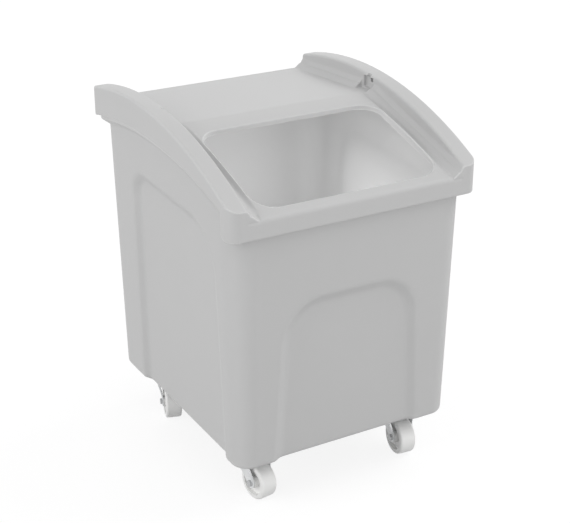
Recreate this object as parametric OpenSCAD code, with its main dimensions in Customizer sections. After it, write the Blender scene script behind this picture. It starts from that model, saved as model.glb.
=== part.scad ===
// Rolling flour bin: a moulded tub on four swivel castors, capped by a hood with a sloping mouth.
// The front is -Y, the right is +X and the floor is z = 0. The origin is under the middle of the hood.

/* [Tub] */
// Outside width of the tub at its foot
tub_w = 393; // [350:1:440]
// Outside depth of the tub at its foot
tub_d = 445; // [400:1:500]
// Height from the tub's foot to the crown of the skirt line
tub_h = 476; // [440:1:540]
// Radius of the upright corners at the foot
foot_r = 30; // [24:1:36]
// How far each wall leans out over that height
draft = 11; // [7:1:15]
// Thickness of the walls
tub_wall = 5; // [4:0.5:6]
// Thickness of the floor
tub_floor = 6; // [5:0.5:8]
// How far the rim bead stands out from the wall
bead_out = 4; // [3:0.5:6]
// Height of the bead that shows below the skirt
bead_h = 9; // [6:0.5:12]
// Corner radius of the bead
bead_r = 12; // [8:1:20]
// How far the walls rise inside the hood, above the skirt line
rim_lap = 12; // [8:0.5:14]

/* [Sunk panels] */
// Depth of the sunk panels
panel_depth = 8; // [6:0.5:10]
// Width of the sloping edge round a panel
panel_slope = 14; // [10:1:18]
// Width of the front panel at the foot
front_panel_w = 266; // [230:1:290]
// Height of the front panel
front_panel_h = 276; // [220:1:320]
// Radius of its top corners
front_panel_r = 68; // [50:1:85]
// How far each of its edges leans in towards the top
front_panel_lean = 11; // [6:1:16]
// Length of the side panels at the foot
side_panel_l = 310; // [280:1:330]
// How far the side panels sit forward of the middle
side_panel_forward = 21; // [12:1:28]
// Height of the side panels at their rear end
side_panel_rear_h = 398; // [360:1:405]
// Height of the side panels at their front end
side_panel_front_h = 391; // [350:1:395]
// Radius of their rear top corner
side_panel_rear_r = 46; // [36:1:60]
// Radius of their front top corner
side_panel_front_r = 85; // [65:1:100]
// How far each of their edges leans in towards the top
side_panel_lean = 9; // [5:1:14]

/* [Hood] */
// Thickness of the hood's walls
hood_wall = 4.7; // [4:0.1:6]
// Gap between the bead and the hood's skirt
hood_gap = 0.8; // [0.4:0.1:1.5]
// Gap between the tub's walls and the hood's top
seat_gap = 0.3; // [0.2:0.1:0.6]
// Width of each cheek
cheek_w = 30; // [27:0.5:32]
// Height of the cheeks' crown above the crown of the skirt line
cheek_h = 48; // [44:1:60]
// Radius of the cheeks' curved top
cheek_arc_r = 690; // [640:5:800]
// How far the crown of that curve lies behind the middle
cheek_arc_y = 82; // [60:1:100]
// Rounding along the cheeks' top edges
cheek_edge_r = 4; // [2:0.5:6]
// Radius of the skirt's curved lower edge
skirt_arc_r = 918; // [850:5:1000]
// How far the crown of the skirt line lies behind the middle
skirt_arc_y = 50; // [30:1:60]
// Radius of the front corners, seen from above
front_corner_r = 20; // [12:1:26]
// Radius of the rear corners, seen from above
rear_corner_r = 6; // [4:0.5:12]
// Length of the deeper stretch of skirt round the front corners
tab_l = 30; // [26:1:40]
// Height of the front skirt below the lip
fascia_h = 30; // [24:1:40]
// Corner radius at the foot of that deeper stretch
tab_r = 10; // [5:1:14]

/* [Mouth] */
// Drop of the lip below the crown of the skirt line
lip_drop = 50; // [42:1:56]
// Height of the ridge above the crown of the skirt line
ridge_rise = 21; // [18:0.5:24]
// How far the ridge lies behind the middle
ridge_y = 14; // [8:1:20]
// Fall of the deck from the ridge to the rear edge
deck_fall = 15; // [12:1:18]
// Rounding along the ridge
ridge_r = 40; // [20:1:60]
// Rounding along the lip
lip_r = 8; // [4:0.5:10]
// How far the raised rim of the mouth arches above a straight line from lip to ridge
rim_bulge = 8; // [4:0.5:10]
// Width of the raised rim, from its left to its right side
rim_w = 332; // [320:1:336]
// Width of the mouth
mouth_w = 322; // [290:1:324]
// Length of the mouth, seen from above
mouth_l = 200; // [170:1:206]
// Distance of the mouth behind the front of the hood
mouth_inset = 18; // [16:1:24]
// Corner radius of the mouth
mouth_r = 36; // [24:1:50]
// Depth of the turned-down edge round the mouth
throat_h = 8; // [6:0.5:14]
// Width of the sloping band at the foot of each cheek
band_w = 16; // [14:0.5:18]
// Height of that band, up to its narrow ledge
band_h = 7; // [5:0.5:8]
// Distance of the ledge's outer edge from the cheek's inner wall
ledge_out = 7; // [6:0.5:9]
// Width of the ledge
ledge_w = 2; // [1:0.5:3]
// Height of the leaning foot of the cheek's inner wall, above the ledge
lean_h = 8; // [5:0.5:8.5]

/* [Lid sockets] */
// Length of the pocket round each socket
pocket_l = 30; // [24:1:36]
// Distance of the pocket's front end behind the middle
pocket_y = 11; // [6:1:16]
// Depth of the pocket in the cheek
pocket_depth = 6; // [4:0.5:7]
// Height of the pocket
pocket_h = 20; // [17:0.5:21]
// Diameter of the socket
socket_d = 8.2; // [6:0.1:10]
// Depth of the socket
socket_depth = 8; // [6:0.5:8.5]
// Distance of the socket behind the pocket's front end
socket_back = 15; // [10:0.5:20]
// Height of the socket's middle above the pocket's floor
socket_up = 13; // [9:0.5:14]
// Width of the notch that leads a pin in from above
lead_w = 11; // [8:0.5:14]
// Depth of that notch
lead_depth = 5; // [3:0.5:6]

/* [Castors] */
// Diameter of the wheels
wheel_d = 60; // [50:1:64]
// Width of the tread
wheel_w = 28; // [24:0.5:30]
// Rounding of the tread's shoulders
wheel_edge_r = 4; // [2:0.5:6]
// Height of a castor, from the floor to the tub's foot
castor_h = 84; // [80:0.5:96]
// Distance of the axle behind the swivel axis
castor_trail = 25; // [20:0.5:28]
// Distance between the left and right swivel axes
castor_track = 280; // [260:1:290]
// Distance between the front and rear swivel axes
castor_base = 300; // [280:1:330]
// Width of the square top plate
plate_w = 62; // [58:0.5:70]
// Thickness of the top plate
plate_t = 2.5; // [2:0.1:3.5]
// Distance between the bolt holes in the plate
bolt_spacing = 46; // [44:0.5:50]
// Diameter of the plate bolts
plate_bolt_d = 6; // [5:0.5:6.5]
// Thickness of the fork's steel
fork_t = 2.2; // [1.8:0.1:3]
// Gap between the tread and each leg
leg_gap = 1.5; // [1:0.1:2.5]
// Radius of the eye at the foot of each leg
eye_r = 9; // [8:0.5:11]
// Width of the fork at its crown, between the legs
fork_w = 50; // [44:0.5:54]
// Diameter of the king pin
king_pin_d = 8; // [7:0.5:10]
// Diameter of the axle bolt
axle_d = 6; // [5:0.5:7]
// Outside diameter of the sleeve on the axle
sleeve_d = 10; // [9:0.5:12]
// Diameter of the bearing balls
ball_d = 4; // [3.5:0.1:4.5]
// Number of bearing balls in a ring
ball_count = 16; // [10:1:20]
// Radius of the ring that the balls run on
ball_ring_r = 15.5; // [14.5:0.1:16.5]

/* [Hidden] */
$fn = 96;
// Overrun that every cut makes past the face it starts from
cut = 2;
// Clearance of a shaft that turns in a hole, on the radius
running_gap = 0.06;
// Clearance of a bolt in its hole, on the radius
bolt_gap = 0.25;
// Clearance between curved faces that move past each other
turning_gap = 0.35;
// Gap between the cheeks' inner walls and the tub's front corners
cheek_gap = 4;
// Facets round a drafted corner
corner_fn = 64;
// Facets round a panel's corners
panel_fn = 48;
// Facets round the large arcs of hood and rim
arc_fn = 720;
// Facets round small edges, grooves and balls
small_fn = 32;
// Sides of a nut or bolt head
hex_fn = 6;
// Half the width of a ball race, as a share of a ball's diameter
race_half_share = 0.85;
// Height of the king pin's head, as a share of the pin's diameter
king_head_share = 0.35;
// Radius over the corners of a nut or hexagon head, as a share of its bolt's diameter
hex_r_share = 0.96;
// Height of a nut, as a share of its bolt's diameter
nut_h_share = 0.85;
// Height of a hexagon head, as a share of its bolt's diameter
head_h_share = 0.6;
// Radius of a domed head, as a share of its bolt's diameter
dome_r_share = 1.1;
// Height of a domed head, as a share of its bolt's diameter
dome_h_share = 0.5;
// Share of the eye's radius at which the leg's straight edges run into it
eye_meet_share = 0.96;
// Steps along the rounding of the ridge
ridge_steps = 4;
// Steps along the rounding of the lip
lip_steps = 6;
// Steps along the arched rim of the mouth
rim_steps = 16;

plastic = "#b8b9ba";
nylon = "#eeeeec";
zinc = "#c9cccf";
steel = "#9da1a5";

CORNERS = ["front_left", "front_right", "rear_left", "rear_right"];
CASTOR_PIECES = [
    "plate", "king_pin", "balls", "fork", "wheel", "sleeve",
    "axle_bolt", "axle_nut", "plate_bolts", "plate_nuts"
];

// Where each castor stands and which way it has swivelled
corner_sides = [[-1, -1], [1, -1], [-1, 1], [1, 1]];
swivel_angles = [8, -6, -18, 16];

// Tub
foot_z = castor_h;
crown_z = foot_z + tub_h;
corner_x = tub_w / 2 - foot_r;
corner_y = tub_d / 2 - foot_r;
rim_half_w = tub_w / 2 + draft;
rim_half_d = tub_d / 2 + draft;
bead_half_w = rim_half_w + bead_out;
bead_half_d = rim_half_d + bead_out;
wall_top = tub_h + rim_lap + cut;
wall_lean = atan(draft / tub_h);
slope_angle = atan(panel_depth / panel_slope);
panel_grow = tub_wall * tan(slope_angle / 2);
skirt_centre = [skirt_arc_y, crown_z - skirt_arc_r];

// Hood
hood_in_w = bead_half_w + hood_gap;
hood_in_d = bead_half_d + hood_gap;
hood_half_w = hood_in_w + hood_wall;
hood_half_d = hood_in_d + hood_wall;
cheek_x = hood_half_w - cheek_w;
cheek_centre = [cheek_arc_y, crown_z + cheek_h - cheek_arc_r];
cheek_hollow_w = hood_in_w - cheek_x - hood_wall + cut;
front_hollow_r = front_corner_r - hood_wall;
rear_hollow_r = rear_corner_r - hood_wall / 2;
lip_z = crown_z - lip_drop;
fascia_z = lip_z - fascia_h;
ridge_z = crown_z + ridge_rise;
deck_z = ridge_z - deck_fall;
flange_run = ridge_y + hood_half_d;
flange_rise = ridge_z - lip_z;
flange_angle = atan(flange_rise / flange_run);
deck_angle = atan(deck_fall / (hood_half_d - ridge_y));
hood_top = crown_z + cheek_h + cut;
mouth_front = mouth_inset - hood_half_d;

// The walls are cut low at the front where they would meet the cheeks' inner walls
cheek_clear_x = cheek_x + hood_wall + cheek_gap;
inner_corner_r = foot_r + draft - tub_wall;
front_cut_y = -(corner_y + sqrt(max(0, pow(inner_corner_r, 2) - pow(cheek_clear_x - corner_x, 2))));

// Sockets
pocket_z = ridge_z;
socket_y = pocket_y + socket_back;
socket_z = pocket_z + socket_up;
socket_x = cheek_x + pocket_depth;
socket_block_x = socket_x + socket_depth + hood_wall / 2;
deck_band_y = pocket_y + pocket_l + hood_wall;

// Castor, from the plate down to the axle
plate_z = foot_z - plate_t;
race_t = plate_t;
race_gap = ball_d / 3;
ball_z = plate_z - race_t - race_gap / 2;
crown_top_z = plate_z - 2 * race_t - race_gap;
race_half_w = ball_d * race_half_share;
crown_r = max(ball_ring_r + race_half_w, fork_w / 2 + fork_t) + fork_t / 2;
axle_z = wheel_d / 2;
leg_in = wheel_w / 2 + leg_gap;
leg_out = leg_in + fork_t;
bend_z = axle_z + eye_r;
king_pin_head_r = king_pin_d;
king_pin_head_h = king_pin_d * king_head_share;
plate_bolt_r = plate_bolt_d / 2;
plate_nut_h = plate_bolt_d * nut_h_share;
plate_nut_r = plate_bolt_d * hex_r_share;
plate_head_r = plate_bolt_d * dome_r_share;
plate_head_h = plate_bolt_d * dome_h_share;
axle_head_r = axle_d * hex_r_share;
axle_head_h = axle_d * head_h_share;
axle_nut_h = axle_d * nut_h_share;
hub_r = sleeve_d;
hub_half_w = leg_in - turning_gap;

// A flat shape drawn in depth and height, pulled across the width of the bin
module across(width) {
    rotate([90, 0, 90])
        linear_extrude(width, center = true)
            children();
}

// A rectangle seen from above, with one radius for its front corners and one for its rear corners
module rounded_plan(half_w, half_d, front_r, rear_r) {
    for (side = [-1, 1]) {
        translate([side * (half_w - front_r), front_r - half_d])
            circle(front_r);
        translate([side * (half_w - rear_r), half_d - rear_r])
            circle(rear_r);
    }
    translate([-half_w, front_r - half_d])
        square([2 * half_w, 2 * half_d - front_r - rear_r]);
    translate([front_r - half_w, -half_d])
        square([2 * (half_w - front_r), 2 * half_d - rear_r]);
    translate([rear_r - half_w, front_r - half_d])
        square([2 * (half_w - rear_r), 2 * half_d - front_r]);
}

// Corner radius of the tub at a height above its foot
function tub_r(h) = foot_r + draft * h / tub_h;

// The tub's block with leaning walls, drawn in by an inset, between two heights above the foot
module drafted_block(inset, low, high) {
    hull()
        for (sx = [-1, 1], sy = [-1, 1])
            translate([sx * corner_x, sy * corner_y, foot_z + low])
                cylinder(h = high - low, r1 = tub_r(low) - inset, r2 = tub_r(high) - inset, $fn = corner_fn);
}

// Outline of a sunk panel: two round top corners over legs that spread towards the foot
module panel_outline(half_l, rear_h, front_h, rear_r, front_r, lean) {
    rear_in = half_l - lean - rear_r;
    front_in = half_l - lean - front_r;
    translate([rear_in, rear_h - rear_r])
        circle(rear_r, $fn = panel_fn);
    translate([-front_in, front_h - front_r])
        circle(front_r, $fn = panel_fn);
    polygon([
        [half_l, 0],
        [half_l - lean, rear_h - rear_r],
        [rear_in, rear_h],
        [-front_in, front_h],
        [lean - half_l, front_h - front_r],
        [-half_l, 0],
        [-half_l, -cut],
        [half_l, -cut]
    ]);
}

// A cutter with sloping edges, from just outside the wall to the panel's depth
module panel_cutter(half_l, high) {
    outer_w = 1 + panel_slope / half_l * cut / panel_depth;
    outer_h = 1 + panel_slope / high * cut / panel_depth;
    inner_w = 1 - panel_slope / half_l;
    inner_h = 1 - panel_slope / high;
    translate([0, 0, -cut])
        linear_extrude(panel_depth + cut, scale = [inner_w / outer_w, inner_h / outer_h], slices = 1)
            scale([outer_w, outer_h])
                children();
}

// The cutters of the front and side panels, pushed in by an inset and grown to keep the wall's thickness
module panel_cutters(inset, grow) {
    front_half = front_panel_w / 2 + grow;
    front_high = front_panel_h + grow;
    front_r = front_panel_r + grow;
    side_half = side_panel_l / 2 + grow;
    translate([0, -tub_d / 2, foot_z])
        rotate([wall_lean, 0, 0])
            translate([0, inset, 0])
                rotate([90, 0, 180])
                    panel_cutter(front_half, front_high)
                        panel_outline(
                            front_half, front_high, front_high, front_r, front_r, front_panel_lean
                        );
    for (side = [0, 1])
        mirror([side, 0, 0])
            translate([-tub_w / 2, -side_panel_forward, foot_z])
                rotate([0, -wall_lean, 0])
                    translate([inset, 0, 0])
                        rotate([90, 0, 90])
                            panel_cutter(side_half, side_panel_rear_h + grow)
                                panel_outline(
                                    side_half,
                                    side_panel_rear_h + grow,
                                    side_panel_front_h + grow,
                                    side_panel_rear_r + grow,
                                    side_panel_front_r + grow,
                                    side_panel_lean
                                );
}

// The four places of the bolts round a castor's middle
module at_plate_bolts() {
    for (sx = [-1, 1], sy = [-1, 1])
        translate([sx * bolt_spacing / 2, sy * bolt_spacing / 2])
            children();
}

// A drum lying across the bin, under the skirt line or a line parallel to it
module skirt_drum(offset_r) {
    translate([0, skirt_centre[0], skirt_centre[1]])
        rotate([0, 90, 0])
            cylinder(h = 2 * hood_half_w + 2 * cut, r = skirt_arc_r + offset_r, center = true, $fn = arc_fn);
}

// Slope of the line from lip to ridge at a share of its length, with an arch of a given height
function flange_slope(share, bulge) =
    atan((flange_rise + 4 * bulge * (1 - 2 * share)) / flange_run);

// A point of that line, lowered square to its slope
function flange_point(share, bulge, drop) =
    let (slope = flange_slope(share, bulge))
    [
        share * flange_run - hood_half_d + drop * sin(slope),
        lip_z + share * flange_rise + 4 * bulge * share * (1 - share) - drop * cos(slope)
    ];

// The lip's rounding, from the upright front face to the start of the slope
function lip_points(bulge) =
    let (turn = 90 - flange_slope(0, bulge))
    let (centre = [lip_r - hood_half_d, lip_z - lip_r * tan(turn / 2)])
    [for (i = [0 : lip_steps]) centre + lip_r * [-cos(i / lip_steps * turn), sin(i / lip_steps * turn)]];

// The ridge's rounding, between the slope behind the mouth and the deck
function ridge_points(bulge, drop) =
    let (front = flange_slope(1, bulge))
    let (mean = (front - deck_angle) / 2)
    let (centre = [ridge_y, ridge_z] - ridge_r / cos((front + deck_angle) / 2) * [-sin(mean), cos(mean)])
    [for (i = [0 : ridge_steps])
        let (turn = front - i / ridge_steps * (front + deck_angle))
        centre + (ridge_r - drop) * [-sin(turn), cos(turn)]];

// Upper line of lip, slope, ridge and deck, with an arched or a straight slope
function deck_line(bulge, drop) = concat(
    drop > 0 ? [[-hood_half_d, lip_z - drop / cos(flange_slope(0, bulge))]] : lip_points(bulge),
    [for (i = [1 : rim_steps - 1]) flange_point(i / rim_steps, bulge, drop)],
    ridge_points(bulge, drop),
    [[hood_half_d, deck_z - drop / cos(deck_angle)]]
);

// Everything below that line, down to a little under the front skirt
module below_deck(bulge, drop) {
    polygon(concat(
        [[hood_half_d, fascia_z - cut], [-hood_half_d, fascia_z - cut]],
        deck_line(bulge, drop)
    ));
}

// Everything below the skirt's lower edge, short of the deeper stretch round the front corners
module below_skirt() {
    difference() {
        translate(skirt_centre)
            circle(skirt_arc_r, $fn = arc_fn);
        translate([-hood_half_d - cut, fascia_z + tab_r])
            square([cut + tab_l, hood_top - fascia_z]);
        translate([-hood_half_d - cut, fascia_z])
            square([cut + tab_l - tab_r, hood_top - fascia_z]);
        translate([tab_l - tab_r - hood_half_d, fascia_z + tab_r])
            circle(tab_r);
    }
}

// One cheek as a thick disc with rounded rims, standing upright along the bin's depth
module cheek_disc(width, radius, edge_r) {
    translate([0, cheek_centre[0], cheek_centre[1]])
        rotate([0, 90, 0])
            rotate_extrude($fn = arc_fn) {
                square([radius - edge_r, width]);
                translate([0, edge_r])
                    square([radius, width - 2 * edge_r]);
                for (side = [edge_r, width - edge_r])
                    translate([radius - edge_r, side])
                        circle(edge_r, $fn = small_fn);
            }
}

// The mouth seen from above, grown by a margin
module mouth_plan(margin) {
    translate([0, mouth_front + mouth_l / 2])
        rounded_plan(mouth_w / 2 + margin, mouth_l / 2 + margin, mouth_r + margin, mouth_r + margin);
}

// The sloping band and its ledge at the foot of a cheek, running back from its start
module foot_band(start, angle, run) {
    translate([cheek_x, start[0], start[1]])
        rotate([angle, 0, 0])
            translate([0, run, 0])
                rotate([90, 0, 0])
                    linear_extrude(run)
                        polygon([
                            [-band_w, 0],
                            [-ledge_out, band_h],
                            [ledge_w - ledge_out, band_h],
                            [0, band_h + lean_h],
                            [cut, band_h + lean_h],
                            [cut, -lip_r],
                            [-band_w, -lip_r]
                        ]);
}

// The hollow inside the hood, open at the skirt
module hood_hollow() {
    difference() {
        intersection() {
            translate([0, 0, fascia_z - cut])
                linear_extrude(hood_top - fascia_z)
                    rounded_plan(hood_in_w, hood_in_d, front_hollow_r, rear_hollow_r);
            union() {
                across(2 * hood_half_w)
                    below_deck(0, hood_wall);
                across(rim_w - 2 * hood_wall)
                    intersection() {
                        below_deck(rim_bulge, hood_wall);
                        translate([-hood_half_d, fascia_z - cut])
                            square([flange_run, hood_top - fascia_z]);
                    }
                for (side = [0, 1])
                    mirror([side, 0, 0])
                        translate([cheek_x + hood_wall, 0, 0])
                            cheek_disc(cheek_hollow_w, cheek_arc_r - hood_wall, cheek_edge_r);
            }
        }
        intersection() {
            translate([0, 0, fascia_z])
                linear_extrude(hood_top - fascia_z)
                    mouth_plan(hood_wall);
            across(2 * hood_half_w)
                difference() {
                    below_deck(rim_bulge, 0);
                    below_deck(rim_bulge, throat_h);
                }
        }
        for (side = [0, 1])
            mirror([side, 0, 0])
                translate([cheek_x, pocket_y - hood_wall, pocket_z - hood_wall])
                    cube([socket_block_x - cheek_x, pocket_l + 2 * hood_wall, hood_top - pocket_z]);
    }
}

// The cuts for one lid socket: pocket, lead-in notch and the socket itself
module socket_cuts() {
    translate([cheek_x - cut, pocket_y, pocket_z])
        cube([cut + pocket_depth, pocket_l, pocket_h]);
    translate([cheek_x - cut, socket_y - lead_w / 2, socket_z])
        cube([cut + lead_depth, lead_w, hood_top - socket_z]);
    translate([socket_x - cut, socket_y, socket_z])
        rotate([0, 90, 0])
            cylinder(h = cut + socket_depth, d = socket_d);
}

module tub() {
    color(plastic)
        difference() {
            intersection() {
                union() {
                    drafted_block(0, 0, wall_top);
                    difference() {
                        translate([0, 0, fascia_z])
                            linear_extrude(hood_top - fascia_z)
                                rounded_plan(bead_half_w, bead_half_d, bead_r, bead_r);
                        skirt_drum(-bead_h);
                    }
                }
                skirt_drum(rim_lap);
            }
            panel_cutters(0, 0);
            difference() {
                drafted_block(tub_wall, tub_floor, wall_top + cut);
                panel_cutters(tub_wall, panel_grow);
            }
            across(2 * hood_half_w)
                difference() {
                    translate([-hood_half_d, fascia_z])
                        square([front_cut_y + hood_half_d, hood_top - fascia_z]);
                    below_deck(0, max(hood_wall, throat_h) + seat_gap);
                }
            for (side = corner_sides)
                translate([side[0] * castor_track / 2, side[1] * castor_base / 2, foot_z - cut])
                    at_plate_bolts()
                        cylinder(h = tub_floor + 2 * cut, r = plate_bolt_r + bolt_gap);
        }
}

module hood() {
    color(plastic)
        difference() {
            intersection() {
                translate([0, 0, fascia_z])
                    linear_extrude(hood_top - fascia_z)
                        rounded_plan(hood_half_w, hood_half_d, front_corner_r, rear_corner_r);
                union() {
                    across(2 * cheek_x + 2 * cheek_edge_r)
                        below_deck(0, 0);
                    across(rim_w)
                        below_deck(rim_bulge, 0);
                    for (side = [0, 1])
                        mirror([side, 0, 0]) {
                            translate([cheek_x, 0, 0])
                                cheek_disc(cheek_w, cheek_arc_r, cheek_edge_r);
                            foot_band(
                                [-hood_half_d, lip_z],
                                flange_angle,
                                (pocket_y + hood_half_d) / cos(flange_angle)
                            );
                            foot_band(
                                [deck_band_y, deck_z + (hood_half_d - deck_band_y) * tan(deck_angle)],
                                -deck_angle,
                                (hood_half_d - deck_band_y) / cos(deck_angle) + cut
                            );
                        }
                }
            }
            hood_hollow();
            for (side = [0, 1])
                mirror([side, 0, 0])
                    translate([cheek_x + hood_wall + cheek_w / 2, 0, 0])
                        across(cheek_w)
                            below_skirt();
            across(2 * hood_half_w)
                intersection() {
                    below_skirt();
                    translate([0, fascia_z - cut])
                        square([2 * hood_half_d, hood_top - fascia_z]);
                }
            translate([0, 0, fascia_z])
                linear_extrude(hood_top - fascia_z)
                    mouth_plan(0);
            for (side = [0, 1])
                mirror([side, 0, 0])
                    socket_cuts();
        }
}

// Puts a castor's piece at its corner, turned to the way that castor has swivelled
module at_castor(i) {
    translate([corner_sides[i][0] * castor_track / 2, corner_sides[i][1] * castor_base / 2, 0])
        rotate([0, 0, swivel_angles[i]])
            children();
}

// The same place without the turn, for the pieces that stay with the tub
module at_mounting(i) {
    translate([corner_sides[i][0] * castor_track / 2, corner_sides[i][1] * castor_base / 2, 0])
        children();
}

// Along the axle, with the bolt's head on the left
module on_axle() {
    translate([0, -castor_trail, axle_z])
        rotate([0, 90, 0])
            children();
}

// A ring with a ball groove in one face
module race(low) {
    difference() {
        translate([0, 0, low])
            cylinder(h = race_t, r = ball_ring_r + race_half_w);
        translate([0, 0, low - cut])
            cylinder(h = race_t + 2 * cut, r = ball_ring_r - race_half_w);
        translate([0, 0, ball_z])
            rotate_extrude()
                translate([ball_ring_r, 0])
                    circle(ball_d / 2 + turning_gap, $fn = small_fn);
    }
}

module plate() {
    color(zinc)
        difference() {
            union() {
                translate([0, 0, plate_z])
                    linear_extrude(plate_t)
                        rounded_plan(plate_w / 2, plate_w / 2, plate_bolt_d, plate_bolt_d);
                translate([0, 0, plate_z - race_t])
                    cylinder(h = race_t + plate_t / 2, r = ball_ring_r + race_half_w);
            }
            translate([0, 0, plate_z - race_t - cut])
                cylinder(h = race_t + cut, r = ball_ring_r - race_half_w);
            translate([0, 0, ball_z])
                rotate_extrude()
                    translate([ball_ring_r, 0])
                        circle(ball_d / 2 + turning_gap, $fn = small_fn);
            translate([0, 0, plate_z - cut])
                cylinder(h = plate_t + 2 * cut, r = king_pin_d / 2 + running_gap);
            translate([0, 0, plate_z - cut])
                at_plate_bolts()
                    cylinder(h = plate_t + 2 * cut, r = plate_bolt_r + bolt_gap);
        }
}

module king_pin() {
    head_z = crown_top_z - fork_t - turning_gap - king_pin_head_h;
    color(steel) {
        translate([0, 0, head_z])
            cylinder(h = king_pin_head_h, r = king_pin_head_r);
        translate([0, 0, head_z])
            cylinder(h = foot_z - head_z - running_gap, d = king_pin_d);
    }
}

module balls() {
    color(steel)
        for (i = [0 : ball_count - 1])
            rotate([0, 0, i * 360 / ball_count])
                translate([ball_ring_r, 0, ball_z])
                    sphere(d = ball_d, $fn = small_fn);
}

// Where a line from a point meets the eye just inside its edge, on the side given by the sign
function eye_touch(from, sign) =
    let (gap = from - [-castor_trail, axle_z])
    let (meet_r = eye_meet_share * eye_r)
    let (turn = atan2(gap[1], gap[0]) + sign * acos(meet_r / norm(gap)))
    [-castor_trail, axle_z] + meet_r * [cos(turn), sin(turn)];

// Side view of a fork leg: a wide top that narrows to the eye
module leg_outline() {
    front = [2 * fork_t - crown_r, crown_top_z - fork_t / 2];
    back = [crown_r - 2 * fork_t, crown_top_z - fork_t / 2];
    polygon([back, front, eye_touch(front, 1), [-castor_trail, axle_z], eye_touch(back, -1)]);
    translate([-castor_trail, axle_z])
        circle(eye_r);
}

// End view of a fork leg: upright beside the wheel, then bent out to the crown
module leg_section() {
    crown_z = crown_top_z - fork_t / 2;
    polygon([
        [leg_in, axle_z - eye_r],
        [leg_in, bend_z],
        [fork_w / 2, crown_z],
        [fork_w / 2 + fork_t, crown_z],
        [leg_out, bend_z],
        [leg_out, axle_z - eye_r]
    ]);
}

module fork() {
    color(zinc)
        difference() {
            union() {
                translate([0, 0, crown_top_z - fork_t])
                    cylinder(h = fork_t, r = crown_r);
                race(crown_top_z);
                intersection() {
                    across(2 * crown_r)
                        leg_outline();
                    for (side = [0, 1])
                        mirror([side, 0, 0])
                            rotate([90, 0, 0])
                                linear_extrude(4 * crown_r, center = true)
                                    leg_section();
                }
            }
            translate([0, 0, crown_top_z - fork_t - cut])
                cylinder(h = fork_t + 2 * cut, r = king_pin_d / 2 + running_gap);
            on_axle()
                cylinder(h = 2 * leg_out + 2 * cut, r = axle_d / 2 + running_gap, center = true);
        }
}

// Half section of the wheel: a tread with round shoulders, dished sides and a hub
module wheel_section() {
    bore_r = sleeve_d / 2 + running_gap;
    rim_in = wheel_d / 2 - 2 * wheel_edge_r;
    tread_half = wheel_w / 2;
    web_half = wheel_w / 4;
    shoulder = [wheel_d / 2 - wheel_edge_r, tread_half - wheel_edge_r];
    translate([bore_r, -hub_half_w])
        square([hub_r - bore_r, 2 * hub_half_w]);
    translate([bore_r, -web_half])
        square([rim_in + wheel_edge_r - bore_r, 2 * web_half]);
    translate([rim_in, -tread_half])
        square([wheel_edge_r, wheel_w]);
    translate([rim_in, -shoulder[1]])
        square([2 * wheel_edge_r, 2 * shoulder[1]]);
    for (side = [-1, 1])
        translate([shoulder[0], side * shoulder[1]])
            circle(wheel_edge_r);
}

module wheel() {
    color(nylon)
        on_axle()
            rotate_extrude()
                wheel_section();
}

module sleeve() {
    color(steel)
        on_axle()
            difference() {
                cylinder(h = 2 * (leg_in - running_gap), d = sleeve_d, center = true);
                cylinder(h = 2 * leg_in + cut, r = axle_d / 2 + running_gap, center = true);
            }
}

module axle_bolt() {
    color(steel)
        on_axle() {
            translate([0, 0, -leg_out - axle_head_h])
                cylinder(h = axle_head_h, r = axle_head_r, $fn = hex_fn);
            translate([0, 0, -leg_out - axle_head_h])
                cylinder(h = 2 * leg_out + axle_head_h + axle_nut_h + fork_t / 2, d = axle_d);
        }
}

module axle_nut() {
    color(steel)
        on_axle()
            translate([0, 0, leg_out])
                difference() {
                    cylinder(h = axle_nut_h, r = axle_head_r, $fn = hex_fn);
                    translate([0, 0, -cut])
                        cylinder(h = axle_nut_h + 2 * cut, r = axle_d / 2 + running_gap);
                }
}

// Domed heads stand on the tub's floor, and the shanks pass through floor and plate
module plate_bolts() {
    floor_z = foot_z + tub_floor;
    shank_z = plate_z - plate_nut_h - running_gap;
    dome_r = (pow(plate_head_r, 2) + pow(plate_head_h, 2)) / (2 * plate_head_h);
    color(steel)
        at_plate_bolts() {
            intersection() {
                translate([0, 0, floor_z])
                    cylinder(h = plate_head_h + cut, r = plate_head_r);
                translate([0, 0, floor_z + plate_head_h - dome_r])
                    sphere(r = dome_r);
            }
            translate([0, 0, shank_z])
                cylinder(h = floor_z - shank_z + plate_head_h / 2, r = plate_bolt_r);
        }
}

module plate_nuts() {
    color(steel)
        translate([0, 0, plate_z - plate_nut_h])
            at_plate_bolts()
                difference() {
                    cylinder(h = plate_nut_h, r = plate_nut_r, $fn = hex_fn);
                    translate([0, 0, -cut])
                        cylinder(h = plate_nut_h + 2 * cut, r = plate_bolt_r + running_gap);
                }
}

tub();
hood();
for (i = [0 : len(CORNERS) - 1]) {
    at_mounting(i) plate();
    at_mounting(i) king_pin();
    at_mounting(i) balls();
    at_mounting(i) plate_bolts();
    at_mounting(i) plate_nuts();
    at_castor(i) fork();
    at_castor(i) sleeve();
    at_castor(i) axle_bolt();
    at_castor(i) axle_nut();
    at_castor(i) wheel();
}
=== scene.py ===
# %% [markdown]
# # A rolling flour bin
# The bin is a grey moulded tub on four swivel castors, with a moulded hood whose mouth slopes to the front.
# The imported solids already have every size. This lesson softens the two mouldings as a mould softens them,
# gives each piece its finish, and sets up a plain studio with the photograph's camera.

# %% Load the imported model
import math

import bmesh
import bpy
from mathutils import Matrix, Vector


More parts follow.
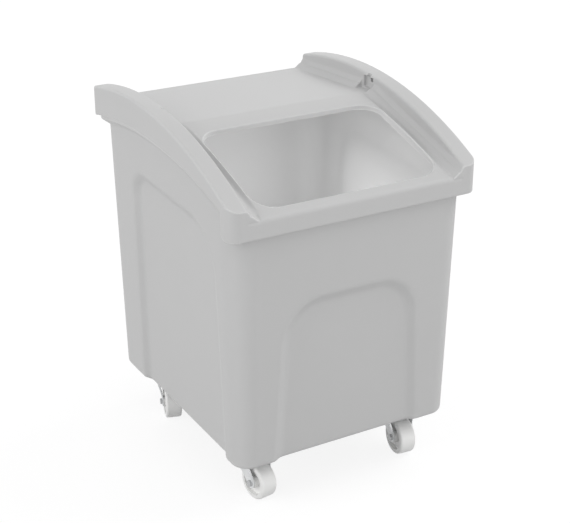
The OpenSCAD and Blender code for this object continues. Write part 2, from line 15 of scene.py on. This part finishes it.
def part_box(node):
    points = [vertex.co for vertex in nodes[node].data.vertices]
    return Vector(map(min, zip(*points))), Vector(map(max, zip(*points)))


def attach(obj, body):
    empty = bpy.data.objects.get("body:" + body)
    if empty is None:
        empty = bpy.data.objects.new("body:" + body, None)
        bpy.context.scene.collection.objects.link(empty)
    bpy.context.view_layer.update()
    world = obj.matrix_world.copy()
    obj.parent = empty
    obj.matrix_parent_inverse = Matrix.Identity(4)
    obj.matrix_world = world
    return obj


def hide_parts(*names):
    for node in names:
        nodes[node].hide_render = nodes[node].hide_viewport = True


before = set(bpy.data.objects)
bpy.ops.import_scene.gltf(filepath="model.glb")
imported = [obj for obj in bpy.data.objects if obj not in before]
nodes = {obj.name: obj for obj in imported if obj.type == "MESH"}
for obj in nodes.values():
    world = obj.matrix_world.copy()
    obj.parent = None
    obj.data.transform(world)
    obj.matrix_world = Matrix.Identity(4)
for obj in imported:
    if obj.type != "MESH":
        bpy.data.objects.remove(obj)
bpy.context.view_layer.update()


# %% [markdown]
# ## The camera
# The photograph looks down on the bin's front left corner through a long lens. The direction, distance and
# focal length were found by fitting the bin's corners and wheels, so they are written here as plain numbers.
# A camera is placed by three directions: right and up in the picture, and back towards the viewer.

# %% Place the camera
IMAGE_W = 570
FOCAL_PIXELS = 1359.84
SENSOR_W = 36.0
CAMERA_AZIMUTH = math.radians(-29.82)
CAMERA_ELEVATION = math.radians(23.90)
CAMERA_DISTANCE = 2.2795
CAMERA_TARGET = Vector((0, 0, 0.300))
CAMERA_RIGHT, CAMERA_UP = 0.00998, 0.01444


def new_object(name, data):
    piece = bpy.data.objects.new(name, data)
    bpy.context.scene.collection.objects.link(piece)
    return piece


def direction(azimuth, elevation):
    """Unit vector out from the bin. An azimuth of 0 is the front, and a positive one lies to the right."""
    flat = math.cos(elevation)
    return Vector((math.sin(azimuth) * flat, -math.cos(azimuth) * flat, math.sin(elevation)))


back = direction(CAMERA_AZIMUTH, CAMERA_ELEVATION)
right = Vector((math.cos(CAMERA_AZIMUTH), math.sin(CAMERA_AZIMUTH), 0))
up = back.cross(right)
camera = new_object("camera", bpy.data.cameras.new("camera"))
camera.data.sensor_width = SENSOR_W
camera.data.lens = FOCAL_PIXELS * SENSOR_W / IMAGE_W
camera.location = CAMERA_TARGET + CAMERA_DISTANCE * back + CAMERA_RIGHT * right + CAMERA_UP * up
camera.rotation_euler = Matrix((right, up, back)).transposed().to_euler()
bpy.context.scene.camera = camera
print("lens", round(camera.data.lens, 2), "mm")


# %% [markdown]
# ## The floor and the background
# A pale floor and a white world make a product studio. More light would also turn them white, but it would
# wash out the grey plastic. So both show white to the camera, to mirrors and to glass, and are weaker as a
# light. The floor is only half white that way, which keeps the bin's shadow.

# %% Studio floor
FLOOR_SIDE = 12.0
FLOOR_GREY = (168, 168, 168)
FLOOR_GLOW, FLOOR_WHITE = 0.5, 1.7
WHITE = (1, 1, 1, 1)


def linear(red, green, blue):
    """A colour that is written as it is seen, from 0 to 255, in the shader's own scale."""
    return tuple(((c / 255 + 0.055) / 1.055) ** 2.4 for c in (red, green, blue)) + (1.0,)


def mesh_from(bm, name):
    mesh = bpy.data.meshes.new(name)
    bm.to_mesh(mesh)
    bm.free()
    return mesh


def seen_directly(tree):
    """A value that is 1 for what the camera, a mirror or glass sees, and 0 for what only gives light."""
    path = tree.nodes.new("ShaderNodeLightPath")
    seen = path.outputs["Is Camera Ray"]
    for ray in ("Is Glossy Ray", "Is Transmission Ray"):
        larger = tree.nodes.new("ShaderNodeMath")
        larger.operation = "MAXIMUM"
        tree.links.new(seen, larger.inputs[0])
        tree.links.new(path.outputs[ray], larger.inputs[1])
        seen = larger.outputs[0]
    return seen


floor_bm = bmesh.new()
bmesh.ops.create_grid(floor_bm, x_segments=1, y_segments=1, size=FLOOR_SIDE / 2)
floor = new_object("studio_floor", mesh_from(floor_bm, "studio_floor"))
floor_paint = bpy.data.materials.new("floor_paint")
floor_paint.use_nodes = True
floor_nodes = floor_paint.node_tree.nodes
floor_wire = floor_paint.node_tree.links.new
floor_shader = floor_nodes["Principled BSDF"]
floor_shader.inputs["Base Color"].default_value = linear(*FLOOR_GREY)
floor_shader.inputs["Roughness"].default_value = 0.9
floor_shader.inputs["Specular IOR Level"].default_value = 0.0
glow = floor_nodes.new("ShaderNodeEmission")
glow.inputs["Color"].default_value = WHITE
glow.inputs["Strength"].default_value = FLOOR_WHITE
glow_share = floor_nodes.new("ShaderNodeMath")
glow_share.operation = "MULTIPLY"
glow_share.inputs[1].default_value = FLOOR_GLOW
floor_mix = floor_nodes.new("ShaderNodeMixShader")
floor_wire(seen_directly(floor_paint.node_tree), glow_share.inputs[0])
floor_wire(glow_share.outputs[0], floor_mix.inputs[0])
floor_wire(floor_shader.outputs[0], floor_mix.inputs[1])
floor_wire(glow.outputs[0], floor_mix.inputs[2])
floor_wire(floor_mix.outputs[0], floor_nodes["Material Output"].inputs["Surface"])
floor.data.materials.append(floor_paint)
print("floor", FLOOR_SIDE, "m")

# %% White world
WORLD_LIGHT = 0.62

world = bpy.data.worlds.new("studio_world")
bpy.context.scene.world = world
world.use_nodes = True
world_nodes = world.node_tree.nodes
world_wire = world.node_tree.links.new
world_nodes.clear()
soft_sky = world_nodes.new("ShaderNodeBackground")
soft_sky.inputs["Color"].default_value = WHITE
soft_sky.inputs["Strength"].default_value = WORLD_LIGHT
white_sky = world_nodes.new("ShaderNodeBackground")
white_sky.inputs["Color"].default_value = WHITE
sky_mix = world_nodes.new("ShaderNodeMixShader")
sky = world_nodes.new("ShaderNodeOutputWorld")
world_wire(seen_directly(world.node_tree), sky_mix.inputs[0])
world_wire(soft_sky.outputs[0], sky_mix.inputs[1])
world_wire(white_sky.outputs[0], sky_mix.inputs[2])
world_wire(sky_mix.outputs[0], sky.inputs["Surface"])
print("world light", WORLD_LIGHT)


# %% [markdown]
# ## The lamps
# In the photograph the tops are bright, the left side is a mid grey and the front is darker, all without
# hard shadows. One strong lamp would throw dark shade into the hood, so weak broad lamps from four sides
# give these steps of tone. Two low panels reach the upright walls but not the hollows on top.

# %% Soft lamps
# Azimuth and elevation in degrees, level, and spread in degrees
LAMPS = {
    "front_lamp": (12, 6, 0.06, 20),
    "left_lamp": (-100, 24, 0.19, 40),
    "right_lamp": (80, 46, 0.24, 40),
    "rear_lamp": (150, 24, 0.05, 25),
}
# Place, width and height in metres, and level
PANEL_LAMPS = {
    "left_panel": (Vector((-2.50, -0.10, 0.26)), (1.2, 0.45), 0.16),
    "front_panel": (Vector((0.50, -2.40, 0.20)), (1.2, 0.30), 0.16),
}


def hang(name, lamp, place, aim):
    holder = new_object(name, lamp)
    holder.location = place
    holder.rotation_euler = aim.to_track_quat("-Z", "Y").to_euler()


def add_lamp(name, azimuth, elevation, level, spread):
    """A broad distant lamp. At a level of 1, a face that it meets squarely shows its own colour."""
    lamp = bpy.data.lights.new(name, "SUN")
    lamp.energy = level * math.pi
    lamp.angle = math.radians(spread)
    hang(name, lamp, Vector(), -direction(math.radians(azimuth), math.radians(elevation)))


def add_panel_lamp(name, place, size, level):
    """A low glowing panel that faces the bin's upright axis, with levels like the distant lamps'."""
    lamp = bpy.data.lights.new(name, "AREA")
    lamp.shape = "RECTANGLE"
    lamp.size, lamp.size_y = size
    aim = Vector((0, 0, place.z)) - place
    lamp.energy = level * math.pi ** 2 * aim.length_squared
    hang(name, lamp, place, aim)


for name, settings in LAMPS.items():
    add_lamp(name, *settings)
    print(name, settings)
for name, settings in PANEL_LAMPS.items():
    add_panel_lamp(name, *settings)
    print(name, settings)


# %% [markdown]
# ## Light that comes through the walls
# The plastic of the real bin lets some light through, so its inside is almost as bright as its outside. A
# material with light under its skin could show this, but it needs many more samples to look clean. A small
# lamp inside the tub, which the camera and mirrors don't see, does nearly the same.

# %% A lamp inside the tub
INNER_WATTS = 1.22
INNER_RADIUS = 0.12
INNER_PLACE = (0.02, 0, 0.37)

inner_light = bpy.data.lights.new("inner_light", "POINT")
inner_light.energy = INNER_WATTS
inner_light.shadow_soft_size = INNER_RADIUS
inner = new_object("inner_light", inner_light)
inner.location = INNER_PLACE
inner.visible_camera = False
inner.visible_glossy = False
print("inner light", INNER_WATTS, "W")


# %% [markdown]
# ## The tub
# On the real bin the tub is one hollow moulding: leaning walls with round corners, arched panels sunk into
# the front and the sides, a rounded foot and a bead below the hood. It could be a remeshed copy of the
# solid, but extruding a rounded plate upwards row by row gives even rows that can be pressed and softened.
# Each row is moved to the wall's lean, and each panel is pressed in by the distance from its outline, which
# leaves the soft edges that a mould leaves. The inside of such a wall follows the panels more loosely, so
# its points are smoothed after the wall has its thickness.

# %% The tub's sizes
tub_low, tub_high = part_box("tub")
hood_low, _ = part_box("hood")
FOOT_Z = tub_low.z
TUB_W, TUB_D, TUB_H = 0.393, 0.445, 0.476
FOOT_R, DRAFT = 0.030, 0.011
TUB_WALL, TUB_FLOOR = 0.005, 0.006
FOOT_EDGE_R = 0.008
BEAD_H, BEAD_R, RIM_LAP = 0.009, 0.012, 0.012
SKIRT_R, SKIRT_Y = 0.918, 0.050
CROWN_Z = FOOT_Z + TUB_H
LIP_Z, RIDGE_Z, RIDGE_Y = 0.510, 0.581, 0.014
FLANGE_SLOPE = (RIDGE_Z - LIP_Z) / (RIDGE_Y - hood_low.y)
MOUTH_GAP = 0.0083
FRONT_CUT_Y = -0.2135

corner_x, corner_y = TUB_W / 2 - FOOT_R, TUB_D / 2 - FOOT_R
bead_x, bead_y = tub_high.x - BEAD_R, tub_high.y - BEAD_R
print("bead", round(2 * tub_high.x, 4), "by", round(2 * tub_high.y, 4))


def skirt_z(y):
    """Height of the hood's lower edge at a depth."""
    return CROWN_Z - SKIRT_R + math.sqrt(SKIRT_R ** 2 - (y - SKIRT_Y) ** 2)


def flange_z(y):
    """Height of the slope that the mouth lies in."""
    return LIP_Z + (y - hood_low.y) * FLANGE_SLOPE


def wall_top_z(y):
    """Top of the tub's wall, which stays under the slope of the mouth at the front."""
    top = skirt_z(y) + RIM_LAP
    if y > FRONT_CUT_Y:
        return top
    return min(top, flange_z(y) - MOUTH_GAP / math.cos(math.atan(FLANGE_SLOPE)))


# %% The sunk panels
PANEL_DEPTH, PANEL_SLOPE, PANEL_SOFT = 0.008, 0.014, 0.003
FRONT_HALF_W, FRONT_TALL, FRONT_R, FRONT_LEAN = 0.133, 0.276, 0.068, 0.011
SIDE_MIDDLE_Y, SIDE_HALF_W, SIDE_LEAN = -0.021, 0.155, 0.009
SIDE_FRONT_R, SIDE_REAR_R = 0.085, 0.046
SIDE_TALL, SIDE_RISE, SIDE_RUN = 0.3945, 0.0035, 0.1


def clamp(value, limit):
    return max(-limit, min(limit, value))


def smooth_step(share):
    share = max(0.0, min(1.0, share))
    return share * share * (3 - 2 * share)


def outline_gap(along, height, half, tall, radius, lean):
    """Distance outside an arch with round top corners and spread legs, negative inside it."""
    across = abs(along) + lean * height / (tall - radius) - (half - radius)
    above = height - (tall - radius)
    if across > 0 and above > 0:
        return math.hypot(across, above) - radius
    return max(across, above) - radius


def pressed_in(gap):
    """Depth of a sunk panel at a distance outside its outline."""
    return PANEL_DEPTH * smooth_step((PANEL_SOFT - gap) / (PANEL_SLOPE + 2 * PANEL_SOFT))


def front_panel_depth(x, height):
    return pressed_in(outline_gap(x, height, FRONT_HALF_W, FRONT_TALL, FRONT_R, FRONT_LEAN))


def side_panel_depth(y, height):
    """A side panel's top rises a little to the rear, where its corner is tighter."""
    along = y - SIDE_MIDDLE_Y
    tall = SIDE_TALL + SIDE_RISE * clamp(along / SIDE_RUN, 1)
    radius = SIDE_REAR_R if along > 0 else SIDE_FRONT_R
    return pressed_in(outline_gap(along, height, SIDE_HALF_W, tall, radius, SIDE_LEAN))


print("panel depth", front_panel_depth(0, FRONT_TALL / 2), side_panel_depth(0, SIDE_TALL / 2))

# %% Where each point of the tub goes
WALL_ROWS, FOOT_STEPS, BEAD_STEPS = 96, 4, 3
BEAD_TUCK, BEAD_SWELL_H = BEAD_H / 2, BEAD_H / 3
FLAT_SIDE = 0.999


def wall_place(core, out, height):
    """A point of the wall at a height above the foot, with the sunk panel pressed in."""
    spot = core + out * (FOOT_R + DRAFT * height / TUB_H)
    depth = 0.0
    if out.y < -FLAT_SIDE:
        depth = front_panel_depth(spot.x, height)
    if abs(out.x) > FLAT_SIDE:
        depth = side_panel_depth(spot.y, height)
    return spot - out * depth


def bead_place(core, out):
    middle = Vector((core.x * bead_x / corner_x, core.y * bead_y / corner_y, 0))
    return middle + out * BEAD_R


def set_row(verts, starts, row):
    """Moves one row of the tub to its place: rounded foot, wall or bead."""
    for vert, start in zip(verts, starts):
        core = Vector((clamp(start.x, corner_x), clamp(start.y, corner_y), 0))
        out = (start - core).normalized()
        bead = bead_place(core, out)
        top = wall_top_z(bead.y)
        bead_low = min(skirt_z(bead.y) - BEAD_H, top - BEAD_TUCK) - FOOT_Z
        if row <= FOOT_STEPS:
            turn = row / FOOT_STEPS * math.pi / 2
            height = FOOT_EDGE_R * (1 - math.cos(turn))
            spot = wall_place(core, out, height) - out * FOOT_EDGE_R * (1 - math.sin(turn))
        elif row <= FOOT_STEPS + WALL_ROWS:
            share = (row - FOOT_STEPS) / WALL_ROWS
            height = FOOT_EDGE_R + share * (bead_low - FOOT_EDGE_R)
            spot = wall_place(core, out, height)
        else:
            share = (row - FOOT_STEPS - WALL_ROWS) / BEAD_STEPS
            swell = math.sin(min(share, 1) * math.pi / 2)
            spot = wall_place(core, out, bead_low).lerp(bead, swell)
            height = bead_low + BEAD_SWELL_H * min(share, 1)
            if share > 1:
                height = top - FOOT_Z
        vert.co = (spot.x, spot.y, FOOT_Z + height)


print("rows", FOOT_STEPS + WALL_ROWS + BEAD_STEPS + 1)

# %% Extrude the tub row by row
WALL_STEP, CORNER_STEPS = 0.0043, 10
SOFT_LOW, SOFT_BELOW_RIM, SOFT_ROUNDS = FOOT_Z + 0.02, 0.03, 40
QUAD = 4


def foot_plate():
    """A flat plate with round corners and evenly divided sides."""
    bm = bmesh.new()
    corners = ((-1, -1), (1, -1), (1, 1), (-1, 1))
    bm.faces.new([bm.verts.new((sx * TUB_W / 2, sy * TUB_D / 2, FOOT_Z)) for sx, sy in corners])
    bmesh.ops.bevel(
        bm, geom=bm.verts[:], offset=FOOT_R, offset_type="OFFSET", affect="VERTICES",
        segments=CORNER_STEPS, profile=0.5, material=-1,
    )
    for edge in [e for e in bm.edges if e.calc_length() > 2 * FOOT_R]:
        bmesh.ops.subdivide_edges(bm, edges=[edge], cuts=round(edge.calc_length() / WALL_STEP))
    return bm


def extruded_rows(bm):
    """Extrudes the plate's outline again and again. Each row's points keep the order of the row below."""
    rows = [bm.verts[:]]
    edges = bm.edges[:]
    for _ in range(FOOT_STEPS + WALL_ROWS + BEAD_STEPS + 1):
        below = {vert: place for place, vert in enumerate(rows[-1])}
        made = bmesh.ops.extrude_edge_only(bm, edges=edges)["geom"]
        order = {}
        for vert in [item for item in made if isinstance(item, bmesh.types.BMVert)]:
            feet = [e.other_vert(vert) for e in vert.link_edges if e.other_vert(vert) in below]
            order[vert] = below[feet[0]]
        rows.append(sorted(order, key=order.get))
        edges = [item for item in made if isinstance(item, bmesh.types.BMEdge)]
        edges = [e for e in edges if e.verts[0] in order and e.verts[1] in order]
    return rows


def extruded_tub():
    bm = foot_plate()
    starts = [Vector((vert.co.x, vert.co.y, 0)) for vert in bm.verts]
    for row, verts in enumerate(extruded_rows(bm)):
        set_row(verts, starts, row)
    bmesh.ops.recalc_face_normals(bm, faces=bm.faces)
    outer = set(bm.verts)
    bmesh.ops.solidify(bm, geom=bm.faces[:], thickness=TUB_WALL)
    inside = [vert for vert in bm.verts if vert not in outer]
    soft = [v for v in inside if SOFT_LOW < v.co.z < wall_top_z(v.co.y) - SOFT_BELOW_RIM]
    for _ in range(SOFT_ROUNDS):
        bmesh.ops.smooth_vert(bm, verts=soft, factor=0.5, use_axis_x=True, use_axis_y=True)
    return bm


tub_bm = extruded_tub()
for face in tub_bm.faces:
    face.smooth = len(face.verts) <= QUAD
floors = [face for face in tub_bm.faces if len(face.verts) > QUAD]
for vert in max(floors, key=lambda face: face.calc_center_median().z).verts:
    vert.co.z = FOOT_Z + TUB_FLOOR
tub = new_object("tub_moulding", mesh_from(tub_bm, "tub_moulding"))
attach(tub, "bin")
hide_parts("tub")
print("tub", len(tub.data.polygons), "faces", [round(s, 4) for s in tub.dimensions])


# %% [markdown]
# ## The hood
# The hood is a second moulding, with curved cheeks, a deck, an arched mouth and two small lid sockets. Its
# solid has every form already but with edges as sharp as a drawing's. Bevelling each edge could soften it,
# but the many short edges where arcs cross would fold over, so a merged copy is rebuilt in small even cells
# and smoothed, which rounds every edge alike. The narrow gutters beside the mouth are smoothed further, as a
# mould would leave them. Flat stretches are then thinned again.

# %% Helpers that soften a copy
HOOD_CELL = 0.0012
HOOD_SMOOTHING = 3
HOOD_KEEP = 0.26
MERGE_GAP = 1e-6
GUTTER_X, GUTTER_Y, GUTTER_BELOW = (0.1635, 0.1780), (-0.232, 0.004), 0.002
GUTTER_ROUNDS = 80


def settle(piece):
    """Replaces a piece's mesh by the one that its modifiers show."""
    shown = piece.evaluated_get(bpy.context.evaluated_depsgraph_get())
    rough = piece.data
    piece.data = bpy.data.meshes.new_from_object(shown)
    piece.modifiers.clear()
    bpy.data.meshes.remove(rough)


def in_gutter(spot):
    """Whether a point lies on top of the hood in the narrow gutter between the mouth's rim and a cheek."""
    return (
        GUTTER_X[0] < abs(spot.x) < GUTTER_X[1]
        and GUTTER_Y[0] < spot.y < GUTTER_Y[1]
        and spot.z > flange_z(spot.y) - GUTTER_BELOW
    )


def round_gutters(piece):
    bm = bmesh.new()
    bm.from_mesh(piece.data)
    gutter = [vert for vert in bm.verts if in_gutter(vert.co)]
    for _ in range(GUTTER_ROUNDS):
        bmesh.ops.smooth_vert(
            bm, verts=gutter, factor=0.5, use_axis_x=True, use_axis_y=True, use_axis_z=True,
        )
    bm.to_mesh(piece.data)
    bm.free()
    print("gutter points", len(gutter))


def merged_copy(node):
    bm = bmesh.new()
    bm.from_mesh(nodes[node].data)
    bmesh.ops.remove_doubles(bm, verts=bm.verts, dist=MERGE_GAP)
    return new_object(node + "_moulding", mesh_from(bm, node + "_moulding"))


print("hood cells", HOOD_CELL, "m, gutter", round(GUTTER_X[1] - GUTTER_X[0], 4), "m wide")

# %% Soften a copy of the hood
hood = merged_copy("hood")
cells = hood.modifiers.new("cells", "REMESH")
cells.mode = "VOXEL"
cells.voxel_size = HOOD_CELL
cells.use_smooth_shade = True
smooth = hood.modifiers.new("smooth", "SMOOTH")
smooth.factor = 0.5
smooth.iterations = HOOD_SMOOTHING
settle(hood)
round_gutters(hood)
thin = hood.modifiers.new("thin", "DECIMATE")
thin.ratio = HOOD_KEEP
settle(hood)
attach(hood, "bin")
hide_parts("hood")
hood_triangles = sum(len(face.vertices) - 2 for face in hood.data.polygons)
print("hood", hood_triangles, "triangles", [round(s, 4) for s in hood.dimensions])


# %% [markdown]
# ## The moulded plastic
# The tub and the hood are grey polyethylene: matt, slightly mottled, with a fine skin like orange peel.
# Their sharp edges are painted paler, partly as edges that handling has burnished and partly as a painted
# highlight where the rounds catch light. Painted pictures could show this, but they would need an unwrapped
# surface. One node group makes these effects from the place on the object instead, and each material sets
# its own colours.

# %% A shared group for moulded skin
MOTTLE_DETAIL, SKIN_DETAIL = 3.0, 2.0
# Pointiness between these two values pales the sharp edges: partly wear, partly a painted highlight.
WEAR_AND_HIGHLIGHT_FROM, WEAR_AND_HIGHLIGHT_TO = 0.51, 0.57


def moulded_skin_group():
    group = bpy.data.node_groups.new("moulded_skin", "ShaderNodeTree")
    for name in ("Mottle Scale", "Skin Scale"):
        group.interface.new_socket(name, in_out="INPUT", socket_type="NodeSocketFloat")
    for name in ("Mottle", "Skin", "Wear And Highlight"):
        group.interface.new_socket(name, in_out="OUTPUT", socket_type="NodeSocketFloat")
    made = group.nodes
    wire = group.links.new
    given = made.new("NodeGroupInput")
    result = made.new("NodeGroupOutput")
    place = made.new("ShaderNodeTexCoord")
    for name, detail in (("Mottle", MOTTLE_DETAIL), ("Skin", SKIN_DETAIL)):
        noise = made.new("ShaderNodeTexNoise")
        noise.inputs["Detail"].default_value = detail
        wire(place.outputs["Object"], noise.inputs["Vector"])
        wire(given.outputs[name + " Scale"], noise.inputs["Scale"])
        wire(noise.outputs["Fac"], result.inputs[name])
    # The edge output pales the sharp edges by their pointiness, partly as wear and partly as a painted
    # highlight.
    shape = made.new("ShaderNodeNewGeometry")
    wear_and_highlight = made.new("ShaderNodeMapRange")
    wear_and_highlight.inputs["From Min"].default_value = WEAR_AND_HIGHLIGHT_FROM
    wear_and_highlight.inputs["From Max"].default_value = WEAR_AND_HIGHLIGHT_TO
    wire(shape.outputs["Pointiness"], wear_and_highlight.inputs["Value"])
    wire(wear_and_highlight.outputs["Result"], result.inputs["Wear And Highlight"])
    return group


MOULDED_SKIN = moulded_skin_group()
print("group", MOULDED_SKIN.name, "sockets", len(MOULDED_SKIN.interface.items_tree))


# %% A material with a mottled skin
def mottled(name, dull, fresh, rough, scales, depth, strength):
    """A material whose colour and gloss follow the mottle, with its skin and colour nodes."""
    material = bpy.data.materials.new(name)
    material.use_nodes = True
    made = material.node_tree.nodes
    wire = material.node_tree.links.new
    shader = made["Principled BSDF"]
    skin = made.new("ShaderNodeGroup")
    skin.node_tree = MOULDED_SKIN
    skin.inputs["Mottle Scale"].default_value, skin.inputs["Skin Scale"].default_value = scales
    tone = made.new("ShaderNodeMix")
    tone.data_type = "RGBA"
    tone.inputs["A"].default_value = linear(*dull)
    tone.inputs["B"].default_value = linear(*fresh)
    gloss = made.new("ShaderNodeMapRange")
    gloss.inputs["To Min"].default_value, gloss.inputs["To Max"].default_value = rough
    bump = made.new("ShaderNodeBump")
    bump.inputs["Distance"].default_value = depth
    bump.inputs["Strength"].default_value = strength
    wire(skin.outputs["Mottle"], tone.inputs["Factor"])
    wire(tone.outputs["Result"], shader.inputs["Base Color"])
    wire(skin.outputs["Mottle"], gloss.inputs["Value"])
    wire(gloss.outputs["Result"], shader.inputs["Roughness"])
    wire(skin.outputs["Skin"], bump.inputs["Height"])
    wire(bump.outputs["Normal"], shader.inputs["Normal"])
    return material, skin, tone


def finish_piece(piece, material):
    piece.data.materials.clear()
    piece.data.materials.append(material)


print("skin inputs", [item.name for item in MOULDED_SKIN.interface.items_tree if item.in_out == "INPUT"])

# %% Grey polyethylene
PLASTIC_ROUGH = (0.46, 0.60)
PLASTIC_SCALES = (7.0, 700.0)
PLASTIC_SKIN, PLASTIC_SKIN_STRENGTH = 0.00015, 0.35
PLASTIC_IOR, PLASTIC_SHINE = 1.5, 0.35


def polyethylene(name, dull, fresh, edge):
    material, skin, tone = mottled(
        name, dull, fresh, PLASTIC_ROUGH, PLASTIC_SCALES, PLASTIC_SKIN, PLASTIC_SKIN_STRENGTH,
    )
    shader = material.node_tree.nodes["Principled BSDF"]
    shader.inputs["IOR"].default_value = PLASTIC_IOR
    shader.inputs["Specular IOR Level"].default_value = PLASTIC_SHINE
    # The edge colour pales the sharp edges, partly as wear and partly as a painted highlight.
    edge_wear_and_highlight = material.node_tree.nodes.new("ShaderNodeMix")
    edge_wear_and_highlight.data_type = "RGBA"
    edge_wear_and_highlight.inputs["B"].default_value = linear(*edge)
    wire = material.node_tree.links.new
    wire(tone.outputs["Result"], edge_wear_and_highlight.inputs["A"])
    wire(skin.outputs["Wear And Highlight"], edge_wear_and_highlight.inputs["Factor"])
    wire(edge_wear_and_highlight.outputs["Result"], shader.inputs["Base Color"])
    return material


# The last colour of each is the pale edge: partly wear, partly a painted highlight, brighter on the hood.
finish_piece(tub, polyethylene("tub_grey", (199, 199, 199), (204, 204, 204), (220, 220, 220)))
finish_piece(hood, polyethylene("hood_grey", (200, 200, 200), (205, 205, 205), (232, 232, 232)))
print("plastic on", tub.name, "and", hood.name)


# %% [markdown]
# ## The castors
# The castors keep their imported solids, which have every round already. Wheels are white nylon, plates and
# forks are bright zinc, and the bolts, nuts, pins, sleeves and balls are darker steel. One metal for all
# would be simpler, but zinc plate is paler than bare steel, so each has its own.

# %% Nylon, zinc and steel
CASTOR_SKIN_SCALE, CASTOR_SKIN_STRENGTH = 1500.0, 0.3


def castor_finish(name, dull, fresh, metal, rough, mottle_scale, depth):
    scales = (mottle_scale, CASTOR_SKIN_SCALE)
    material, _, _ = mottled(name, dull, fresh, rough, scales, depth, CASTOR_SKIN_STRENGTH)
    material.node_tree.nodes["Principled BSDF"].inputs["Metallic"].default_value = metal
    return material


nylon = castor_finish("white_nylon", (240, 240, 239), (248, 248, 247), 0.0, (0.38, 0.5), 40.0, 0.0001)
zinc = castor_finish("bright_zinc", (226, 228, 229), (238, 239, 240), 0.2, (0.34, 0.46), 160.0, 0.00005)
steel = castor_finish("plain_steel", (176, 177, 178), (198, 199, 200), 0.5, (0.32, 0.45), 220.0, 0.00005)

FINISHES = {"wheel": nylon, "plate": zinc, "fork": zinc}
for name, node in nodes.items():
    if name in ("tub", "hood"):
        finish_piece(node, bpy.data.materials[name + "_grey"])
    else:
        finish_piece(node, FINISHES.get(name.split("_", 2)[2], steel))
print("castor pieces", len(nodes) - 2)


# %% [markdown]
# ## The colour view
# The render shows its colours through the Standard view transform.

# %% Set the view transform
bpy.context.scene.view_settings.view_transform = "Standard"
